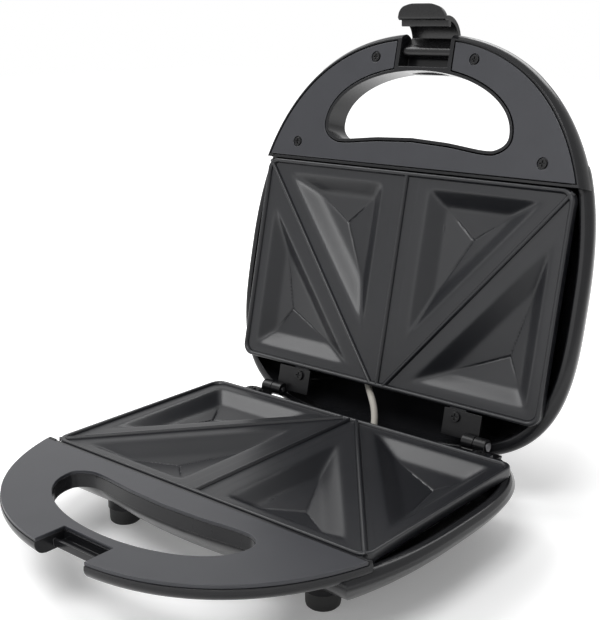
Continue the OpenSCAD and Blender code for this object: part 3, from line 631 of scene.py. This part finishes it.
def lid_casing():
    room = cut(cover_room(LID_COVER_IN - GROOVE), prism(finger_outline(FINGER_WALL), -2 * PAST, MEET_Z),
               notch_block(-2 * PAST, MEET_Z))
    shell = casing(LID, COVER_DROP, room, LID_SCREW_X, LID_LEAF_H + LEAF_T + LUG_T)
    cut(shell, *[rod(x, LENS_Y, LENS_BORE_R, LID.depth - LENS_BORE_H, LID.depth + PAST)
                 for x in (LENS_X, -LENS_X)])
    rest_half = NOTCH_HALF + EPS
    rest = block((-rest_half, BACK_WALL_Y, LID.handle_t - TRAY_FLOOR),
                 (rest_half, NOTCH_IN + NOTCH_WALL, back_depth(LID)))
    add(shell, meet(rest, handle_body(LID)))
    return place(shell, "lid_casing", "lid", MATS["casing"])


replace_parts(base_casing(), "base_shell")
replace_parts(lid_casing(), "lid_shell")


# ---------------------------------------------------------------- handle covers
def clip_front(outline2d, y):
    """The part of an outline in front of y, as an open chain from its left end to its right end."""
    p = [tuple(q) for q in outline2d]
    after = p[1:] + p[:1]
    start = max((i for i in range(len(p)) if p[i][1] >= y > after[i][1]), key=lambda i: -p[i][0])
    p = p[start:] + p[:start]
    end = next(i for i in range(1, len(p)) if p[i][1] >= y)

    def crossing(a, b):
        return a[0] + (y - a[1]) / (b[1] - a[1]) * (b[0] - a[0]), y

    return [crossing(p[0], p[1])] + p[1:end] + [crossing(p[end - 1], p[end])]


def cover_edge(draw_in, half_w):
    """The cover's edge from its back edge to the notch on the left, and from the notch back on the right."""
    chain = clip_front(outline(draw_in), COVER_BACK)
    front = sorted(q for q in chain if q[1] < NOTCH_IN)
    edge_y = float(np.interp(half_w, [q[0] for q in front], [q[1] for q in front]))
    sides = [q for q in chain if abs(q[0]) > half_w or q[1] > NOTCH_IN]
    left = [q for q in sides if q[0] < 0] + [(-half_w, edge_y)]
    right = [(half_w, edge_y)] + [q for q in sides if q[0] > 0]
    return left, right


def base_cover_loops():
    """The cover's edge with the notch in it, and the finger hole."""
    left, right = cover_edge(BASE_COVER_IN, NOTCH_HALF)
    deep = CATCH_IN + 0.3
    return [left + [(-NOTCH_HALF, deep), (NOTCH_HALF, deep)] + right, finger_outline(0)]


def lid_cover_loops():
    """One loop: outside it follows the lip, and through the notch it turns in round the finger hole."""
    half_w = NOTCH_HALF + WALL + GROOVE
    left, right = cover_edge(LID_COVER_IN, half_w)
    grow = FINGER_WALL + GROOVE
    hole = finger_outline(grow)
    foremost = int(np.argmin(hole[:, 1]))
    around = [tuple(q) for q in np.roll(hole, -foremost, axis=0)[::-1]]
    around = [q for q in around if abs(q[0]) > half_w or q[1] > FINGER_Y]
    meet_y = FINGER_Y - (FINGER_RISE + grow) * math.sqrt(1 - (half_w / (FINGER_HALF + grow)) ** 2)
    return [left + [(-half_w, meet_y)] + around + [(half_w, meet_y)] + right]


def flat_piece(name, loops, low, high, round_off):
    """A flat piece with holes and rounded edges: closed loops of (x, y) between two depths."""
    curve = bpy.data.curves.new(name, "CURVE")
    curve.dimensions, curve.fill_mode = "2D", "BOTH"
    curve.extrude = (high - low) / 2 - round_off
    curve.bevel_depth, curve.bevel_resolution = round_off, 2
    curve.offset = -round_off
    for loop in loops:
        spline = curve.splines.new("POLY")
        spline.points.add(len(loop) - 1)
        for point, (x, y) in zip(spline.points, loop):
            point.co = (x, y, 0, 1)
        spline.use_cyclic_u = True
    obj = new_object(name, curve)
    mesh = evaluated(obj)
    bpy.data.objects.remove(obj)
    mesh.transform(Matrix.Translation((0, 0, (high + low) / 2)))
    return new_object(name, mesh)


def handle_cover(name, body, loops, screws):
    """A cover with a flat-bottomed recess at each screw."""
    n = 32
    loops = loops + [circle(x, y, RECESS_R, n) for x, y in screws]
    piece = flat_piece(name, loops, COVER_DROP, COVER_H, 0.3)
    if screws:
        bottoms = [prism_data(circle(x, y, COVER_POST_R, n), RECESS_FLOOR, COVER_H) for x, y in screws]
        piece = merged(name, [taken_apart(piece)] + bottoms)
    return place(piece, name, body, MATS["handle_cover"], 35)


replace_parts(handle_cover("base_cover", "base", base_cover_loops(), []), "base_handle_cover")
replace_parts(handle_cover("lid_cover", "lid", lid_cover_loops(), COVER_SCREWS), "lid_handle_cover")


# ---------------------------------------------------------------- cooking plates
# Each pocket is a triangle with a margin inside each of its sides, and the point where its creases meet.
TRI_IN = np.array([(0, PLATE_FRONT), (PLATE_W / 2, PLATE_FRONT), (0, PLATE_BACK)])
TRI_OUT = np.array([(PLATE_W / 2, PLATE_FRONT), (PLATE_W / 2, PLATE_BACK), (0, PLATE_BACK)])
POCKETS = [
    (TRI_IN, (8.5, 9, 17), (46, PLATE_FRONT + 35)),
    (TRI_OUT, (9.5, 8.5, 13), (81, PLATE_BACK - 34.5)),
]
SLOPE_W = 9  # width of a pocket's walls
SHELF = 7.4  # depth of its floor at the foot of the walls
CORNER_SOFT = 1.6  # rounding between two walls
LAND_SOFT = 1.6  # between walls and land
FOOT_SOFT = 0.55  # between walls and floor
CREASE_SOFT = 0.012  # between the floor's three faces
LINE_DEPTH = 0.8  # thin lines along the floor's creases
LINE_W = 0.03
SHEET_IN = 1.9
SHEET_R = PLATE_R - 1.2
FRONT_GRID = (360, 216)
BACK_GRID = (120, 72)
HEATER_R = 3
HEATER_LOW = BACK_H + POCKET
REFLECTOR_H = HEATER_LOW + 2 * HEATER_R + 0.1
POSTS = [(56, 1.5), (-56, 1.5), (0, PLATE_D * 0.34), (0, -PLATE_D * 0.34)]
POST_R = 4.2
PADS = [(side * x, y) for x, y in ((64, 36), (64, -14), (24, -35)) for side in (1, -1)]
PAD_R = 3
LUG_HALF = 5.5
LUG_REACH = 9
SINK = 1  # how far posts, pads and lugs stand in the plate
BEAD_IN = 1.5  # from the plate's edge to the ends of the slanting beads
CENTRE_BEAD_IN = 2  # and of the one in the middle
SLANT_END_X = 5


def smooth_min(values, k):
    """Smooth minimum of several fields: corners between them get a radius of about k."""
    v = np.stack(values)
    low = v.min(0)
    return low - k * np.log(np.exp(-(v - low) / k).sum(0))


def pocket_depth_at(x, y):
    """Depth of the pockets below the land at points of the plate."""
    x = np.abs(x).astype(float)
    total = np.zeros_like(x)
    for tri, margins, crease in POCKETS:
        inside, climb = [], []
        for a, b, margin in zip(tri, np.roll(tri, -1, axis=0), margins):
            d = (b - a) / np.linalg.norm(b - a)
            n = np.array([-d[1], d[0]])
            dist = (x - a[0]) * n[0] + (y - a[1]) * n[1] - margin
            reach = (crease[0] - a[0]) * n[0] + (crease[1] - a[1]) * n[1] - margin
            inside.append(dist)
            climb.append((dist - SLOPE_W) / (reach - SLOPE_W))
        s = smooth_min(inside, CORNER_SOFT)
        wall = SHELF / SLOPE_W * (np.sqrt(s * s + LAND_SOFT) + s) / 2
        low, second = np.sort(np.stack(climb), 0)[:2]
        fade = np.clip(low * 2.4 - 0.3, 0, 1)
        line = LINE_DEPTH * np.exp(-((second - low) / LINE_W) ** 2) * fade
        floor_at = SHELF + (POCKET - SHELF) * smooth_min(climb, CREASE_SOFT) + line
        total += smooth_min([wall, np.maximum(floor_at, -5)], FOOT_SOFT) * (s > -8)
    return np.maximum(total, 0)


def bead_strip(a, b, n=24):
    """A raised bead with a rounded back, from a to b on the land."""
    a, b = np.array(a, float), np.array(b, float)
    d = (b - a) / np.linalg.norm(b - a)
    side = np.array([-d[1], d[0]])
    right = [(0.2, MEET_GAP), (0.6, 0.3), (0.95, 0.75), (1.25, LAND - 0.35), (1.5, LAND + 0.3)]
    section = [(-u, h) for u, h in right[::-1]] + right
    verts = [(*(a + (b - a) * i / n + side * u), h) for i in range(n + 1) for u, h in section]
    m = len(section)
    faces = [((i + 1) * m + j, (i + 1) * m + j + 1, i * m + j + 1, i * m + j)
             for i in range(n) for j in range(m - 1)]
    return verts, faces


def grid_sheet(grid, behind):
    """The plate's land and pockets as a height field, or its back at a distance behind."""
    nx, ny = grid
    w, d = PLATE_W / 2 - SHEET_IN, PLATE_D / 2 - SHEET_IN
    y = d * np.linspace(-1, 1, ny + 1)
    over = np.maximum(0, np.abs(y) - (d - SHEET_R))
    half_w = w - SHEET_R + np.sqrt(np.maximum(0, SHEET_R * SHEET_R - over * over))
    x_all = half_w[:, None] * np.linspace(-1, 1, nx + 1)[None, :]
    y_all = np.repeat(y[:, None], nx + 1, 1)
    h_all = LAND + pocket_depth_at(x_all, y_all) + behind
    verts = np.stack([x_all, y_all, h_all], 2).reshape(-1, 3)
    row = nx + 1
    j, i = np.meshgrid(np.arange(ny), np.arange(nx), indexing="ij")
    q = (j * row + i).ravel()
    faces = np.stack([q, q + 1, q + row + 1, q + row], 1)
    return verts, faces if behind else faces[:, ::-1]


def rim_shell():
    """Rim bead, side wall and its foot, as rings drawn in from the plate's edge."""
    section = [(2.9, LAND + 0.35), (2.55, LAND - 0.35), (2.3, 0.8), (1.95, 0.32), (1.5, MEET_GAP),
               (0.8, MEET_GAP + 0.02), (0.35, 0.4), (0.08, 0.85), (0, 1.4), (0, SIDE_H - 0.5),
               (0.15, SIDE_H - 0.12), (0.5, SIDE_H), (1.9, SIDE_H), (2.3, SIDE_H - 0.2), (2.4, SIDE_H - 0.6),
               (2.4, BACK_H - 0.3)]
    rings = [lift(rounded_rect(PLATE_W - 2 * k, PLATE_D - 2 * k, max(2, PLATE_R - k * 0.5)), h)
             for k, h in section]
    return np.vstack(rings), [f[::-1] for f in ring_faces(len(rings[0]), len(rings))]


def plate_piece(name, body, lug_x, lug_h):
    """A plate with its ridges, the posts and pads behind it, and two lugs for the hinges."""
    slanting = ((PLATE_W / 2 - BEAD_IN, PLATE_FRONT + BEAD_IN), (SLANT_END_X, PLATE_BACK - BEAD_IN))
    mirrored = [(-x, y) for x, y in slanting[::-1]]
    parts = [grid_sheet(FRONT_GRID, 0), grid_sheet(BACK_GRID, PLATE_T), rim_shell(),
             bead_strip((0, PLATE_FRONT + CENTRE_BEAD_IN), (0, PLATE_BACK - CENTRE_BEAD_IN)),
             bead_strip(*slanting), bead_strip(*mirrored)]
    parts += [prism_data(circle(x, y, POST_R, 28), BACK_H - SINK, REFLECTOR_H) for x, y in POSTS]
    for x, y in PADS:
        pocket = float(pocket_depth_at(np.array([x]), np.array([y]))[0])
        parts.append(prism_data(circle(x, y, PAD_R, 28), BACK_H + pocket - SINK, HEATER_LOW))
    for x in (lug_x, -lug_x):
        lug = rectangle((x - LUG_HALF, PLATE_BACK - SINK), (x + LUG_HALF, PLATE_BACK + LUG_REACH))
        parts.append(prism_data(lug, lug_h, lug_h + LUG_T))
    return place(merged(name, parts), name, body, MATS["plate"], 50)


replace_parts(plate_piece("base_cooking_plate", "base", BASE_SCREW_X, BASE_LEAF_H - LUG_T), "base_plate")
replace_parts(plate_piece("lid_cooking_plate", "lid", LID_SCREW_X, LID_LEAF_H + LEAF_T), "lid_plate")


# ---------------------------------------------------------------- latch
# Its sections are points of (distance in front of the pivot, depth from the pivot), in the local frame of the
# lid and with the latch drawn back, as in the photo.
LATCH_W = 33
LATCH_R = 15
LATCH_T = 2.7
BEND_X = 4.5
BEND_H = -8
HOOK_OUT = BEND_X + LATCH_R - LATCH_T
HOOK_H = BEND_H + 1.2
TAB_IN = 15.9
TAB_OUT = 25.5
TAB_H = BEND_H - 3.4
TAB_SLANT = 2.8
TAB_T = 2
TAB_ARCH_R = 38.6
TAB_ROUND = 4.5
PIN_BORE_R = 1.29


def arc(centre, r, start, end, n):
    a = np.radians(np.linspace(start, end, n + 1))
    return list(zip(centre[0] + r * np.cos(a), centre[1] + r * np.sin(a)))


def rounded(points, r, n=5):
    """A polygon whose corners are rounded, by about r where its edges are long enough."""
    p, out = np.array(points, float), []
    for i in range(len(p)):
        before, after = p[i - 1] - p[i], p[(i + 1) % len(p)] - p[i]
        reach = min(r, 0.45 * np.linalg.norm(before), 0.45 * np.linalg.norm(after))
        a = p[i] + before / np.linalg.norm(before) * reach
        b = p[i] + after / np.linalg.norm(after) * reach
        for t in np.linspace(0, 1, n):
            out.append(tuple(a * (1 - t) ** 2 + p[i] * 2 * t * (1 - t) + b * t * t))
    return out


def latch_section(points, width):
    return across(width, [(PIVOT_Y - d, PIVOT_H + h) for d, h in points])


def latch_arm():
    """The bent arm from the barrel up to the tab."""
    bend = (BEND_X, BEND_H)
    points = [(0, BARREL_R - 0.1), (BEND_X, BARREL_R + 0.2), (BEND_X + 0.2, LATCH_R + BEND_H - 0.4)]
    points += arc(bend, LATCH_R, 80, -20, 28) + arc(bend, LATCH_R - LATCH_T, -20, 70, 28)
    points += [(BARREL_R - 0.05, -0.6), (0, 0)]
    return latch_section(points, LATCH_W - 0.02)


def latch_tab():
    """The thumb tab: its front edge is an arch, with round corners."""
    tip = TAB_H - TAB_SLANT
    section = [(TAB_IN + 0.3, TAB_H - 0.4), (HOOK_OUT + 1.9, TAB_H), (TAB_OUT, tip),
               (TAB_OUT - 0.6, tip - TAB_T), (TAB_IN + 1, tip), (TAB_IN, TAB_H - 1.2)]
    half_w, edge_y = LATCH_W / 2, PIVOT_Y - TAB_OUT
    x = np.linspace(-half_w, half_w, 61)
    arch = TAB_ARCH_R - np.sqrt(TAB_ARCH_R ** 2 - x * x)
    over = np.maximum(0, np.abs(x) - half_w + TAB_ROUND)
    corner = TAB_ROUND - np.sqrt(np.maximum(0, TAB_ROUND ** 2 - over ** 2))
    front = np.column_stack([x, edge_y + arch + corner])
    back_y = edge_y + 20
    from_above = np.vstack([[(half_w, back_y), (-half_w, back_y)], front])
    return meet(latch_section(rounded(section, 0.7), LATCH_W),
                prism(from_above, PIVOT_H + tip - TAB_T - 2 * PAST, PIVOT_H + TAB_H + PAST))


def latch_hook():
    section = [(HOOK_OUT + 1, HOOK_H - 0.5), (HOOK_OUT - 3.1, HOOK_H + 0.55), (HOOK_OUT - 3.9, HOOK_H - 2.3),
               (HOOK_OUT + 0.4, HOOK_H - 3.5)]
    return latch_section(rounded(section, 0.8), LATCH_W - 0.04)


def latch_piece():
    barrel = latch_section(arc((0, 0), BARREL_R, 0, 352.5, 47), LATCH_W)
    piece = add(latch_arm(), latch_tab(), latch_hook(), barrel)
    cut(piece, latch_section(arc((0, 0), PIN_BORE_R, 0, 345, 23), LATCH_W + 2 * PAST))
    return place(piece, "latch_piece", "latch", MATS["latch"], 35)


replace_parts(latch_piece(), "latch")


# ---------------------------------------------------------------- lead sleeve
SLEEVE_R = 2.1
SLEEVE_STEPS = 90
SLEEVE_SIDES = 28
WEAVE_DEPTH = 0.1
WEAVE_IN = 0.12  # the weave's middle lies this far inside the sleeve's radius
STRANDS = 7
STRAND_TURN = 2.2  # radians per millimetre along the sleeve


def lid_point(x, y, h):
    return in_lid([(x, y, h)])[0]


ROUTE = np.array([lid_point(-16, PLATE_D / 2 - 9, 12), lid_point(-14, PLATE_D / 2 + 9, 11),
                  (6, HINGE_Y + 3 - SHIFT, HINGE_Z + 10), (13, HINGE_Y - 8 - SHIFT, HINGE_Z - 2),
                  (15, PLATE_D / 2 - 4 - SHIFT, MEET_Z - 16)])


def bezier(points, t):
    while len(points) > 1:
        points = points[:-1] * (1 - t) + points[1:] * t
    return points[0]


def sleeve():
    """A tube along the route whose strands wind both ways round it."""
    path = np.array([bezier(ROUTE, i / SLEEVE_STEPS) for i in range(SLEEVE_STEPS + 1)])
    tangent = np.gradient(path, axis=0)
    tangent /= np.linalg.norm(tangent, axis=1)[:, None]
    along = np.concatenate([[0], np.cumsum(np.linalg.norm(np.diff(path, axis=0), axis=1))])
    a = np.arange(SLEEVE_SIDES) * 2 * math.pi / SLEEVE_SIDES
    rings = []
    for p, d, s in zip(path, tangent, along):
        u = np.cross(d, (0, 1, 0.2))
        u /= np.linalg.norm(u)
        v = np.cross(d, u)
        crossing = np.sin(a * STRANDS + s * STRAND_TURN) * np.sin(a * STRANDS - s * STRAND_TURN)
        r = SLEEVE_R - WEAVE_IN + WEAVE_DEPTH * crossing
        rings.append(p + r[:, None] * (np.cos(a)[:, None] * u + np.sin(a)[:, None] * v))
    verts, faces = loft_data(rings)
    obj = solid(verts * MM, [f[::-1] for f in faces], "woven_sleeve")
    obj.data.materials.append(MATS["sleeve"])
    smooth(obj.data, 60)
    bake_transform(obj)
    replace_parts(obj, "lead_sleeve")


sleeve()


# ---------------------------------------------------------------- floor, light and camera, in metres
FLOOR_HALF = 4.0
FLOOR_Z = -0.0002
NEAR = 0.16  # within this distance of the middle the floor glows least
NEAR_GLOW = 0.2
FAR_OFF = 0.45  # and past this one most
FAR_GLOW = 1.1
WORLD_LIGHT = 0.25  # strength of the world where it only lights


def seen_directly(tree):
    """One for camera, glossy and transmission rays, nought for all others."""
    rays = node(tree, "ShaderNodeLightPath")
    direct = node(tree, "ShaderNodeMath")
    seen = node(tree, "ShaderNodeMath")
    direct.operation = seen.operation = "MAXIMUM"
    tree.links.new(rays.outputs["Is Camera Ray"], direct.inputs[0])
    tree.links.new(rays.outputs["Is Glossy Ray"], direct.inputs[1])
    tree.links.new(direct.outputs["Value"], seen.inputs[0])
    tree.links.new(rays.outputs["Is Transmission Ray"], seen.inputs[1])
    return seen.outputs["Value"]


def floor():
    """A white floor whose glow grows with the distance, so that only the shadow near the object shows."""
    mat = bpy.data.materials.new("floor_white")
    mat.use_nodes = True
    tree = mat.node_tree
    bsdf = tree.nodes["Principled BSDF"]
    bsdf.inputs["Base Color"].default_value = (0.93, 0.93, 0.93, 1)
    bsdf.inputs["Roughness"].default_value = 0.9
    bsdf.inputs["Specular IOR Level"].default_value = 0.0
    bsdf.inputs["Emission Color"].default_value = (1, 1, 1, 1)
    spot = node(tree, "ShaderNodeNewGeometry")
    away = node(tree, "ShaderNodeVectorMath")
    away.operation = "LENGTH"
    tree.links.new(spot.outputs["Position"], away.inputs[0])
    fade = node(tree, "ShaderNodeMapRange", From_Min=NEAR, From_Max=FAR_OFF, To_Min=NEAR_GLOW,
                To_Max=FAR_GLOW)
    tree.links.new(away.outputs["Value"], fade.inputs["Value"])
    glow = node(tree, "ShaderNodeMath")
    glow.operation = "MULTIPLY"
    tree.links.new(seen_directly(tree), glow.inputs[0])
    tree.links.new(fade.outputs["Result"], glow.inputs[1])
    tree.links.new(glow.outputs["Value"], bsdf.inputs["Emission Strength"])
    mesh = bpy.data.meshes.new("floor")
    square = rectangle((-FLOOR_HALF, -FLOOR_HALF), (FLOOR_HALF, FLOOR_HALF))
    mesh.from_pydata([(x, y, FLOOR_Z) for x, y in square], [], [(0, 1, 2, 3)])
    mesh.materials.append(mat)
    obj = new_object("floor", mesh)


def studio():
    """A world that is white where it is seen, and lights the object more weakly."""
    world = bpy.data.worlds.new("studio")
    bpy.context.scene.world = world
    world.use_nodes = True
    tree = world.node_tree
    background = tree.nodes["Background"]
    background.inputs["Color"].default_value = (1, 1, 1, 1)
    strength = node(tree, "ShaderNodeMapRange", To_Min=WORLD_LIGHT, To_Max=1.0)
    tree.links.new(seen_directly(tree), strength.inputs["Value"])
    tree.links.new(strength.outputs["Result"], background.inputs["Strength"])


def lamp(name, at, target, size, watts):
    data = bpy.data.lights.new(name, "AREA")
    data.shape = "RECTANGLE"
    data.size, data.size_y = size
    data.energy = watts
    obj = new_object(name, data)
    obj.location = at
    obj.rotation_euler = (Vector(target) - Vector(at)).to_track_quat("-Z", "Y").to_euler()


def camera():
    """The photo's camera, fitted to points read in it; the focal length and centre are in its pixels."""
    azimuth, elevation, roll = math.radians(39.58), math.radians(14.42), math.radians(-0.14)
    place_at = (0.3709, -0.4137 - SHIFT * MM, 0.2758)
    focal_px, photo_h, centre_px = 1086.4, 620, (-18.25, -15.91)
    backward = Vector((math.sin(azimuth) * math.cos(elevation), -math.cos(azimuth) * math.cos(elevation),
                       math.sin(elevation)))
    level = Vector((math.cos(azimuth), math.sin(azimuth), 0))
    upward = backward.cross(level)
    right = level * math.cos(roll) + upward * math.sin(roll)
    up = upward * math.cos(roll) - level * math.sin(roll)
    data = bpy.data.cameras.new("camera")
    data.sensor_width = 36
    data.lens = focal_px * data.sensor_width / photo_h
    data.shift_x, data.shift_y = centre_px[0] / photo_h, centre_px[1] / photo_h
    data.clip_start, data.clip_end = 0.01, 20
    obj = new_object("camera", data)
    turn = Matrix((right, up, backward)).transposed().to_4x4()
    obj.matrix_world = Matrix.Translation(place_at) @ turn
    bpy.context.scene.camera = obj


floor()
studio()
lamp("key", at=(0.25, -0.75, 1.15), target=(0, 0.06, 0.12), size=(0.6, 0.45), watts=9)
lamp("left", at=(-0.85, -0.2, 1.2), target=(0, 0.06, 0.12), size=(0.7, 0.7), watts=9)
lamp("front", at=(-0.3, -1.4, 0.6), target=(0, 0.06, 0.15), size=(1.0, 0.8), watts=3)
lamp("back", at=(-0.1, 1.0, 1.1), target=(0, 0, 0.12), size=(0.9, 0.6), watts=8)
camera()
bpy.context.scene.view_settings.view_transform = "Standard"
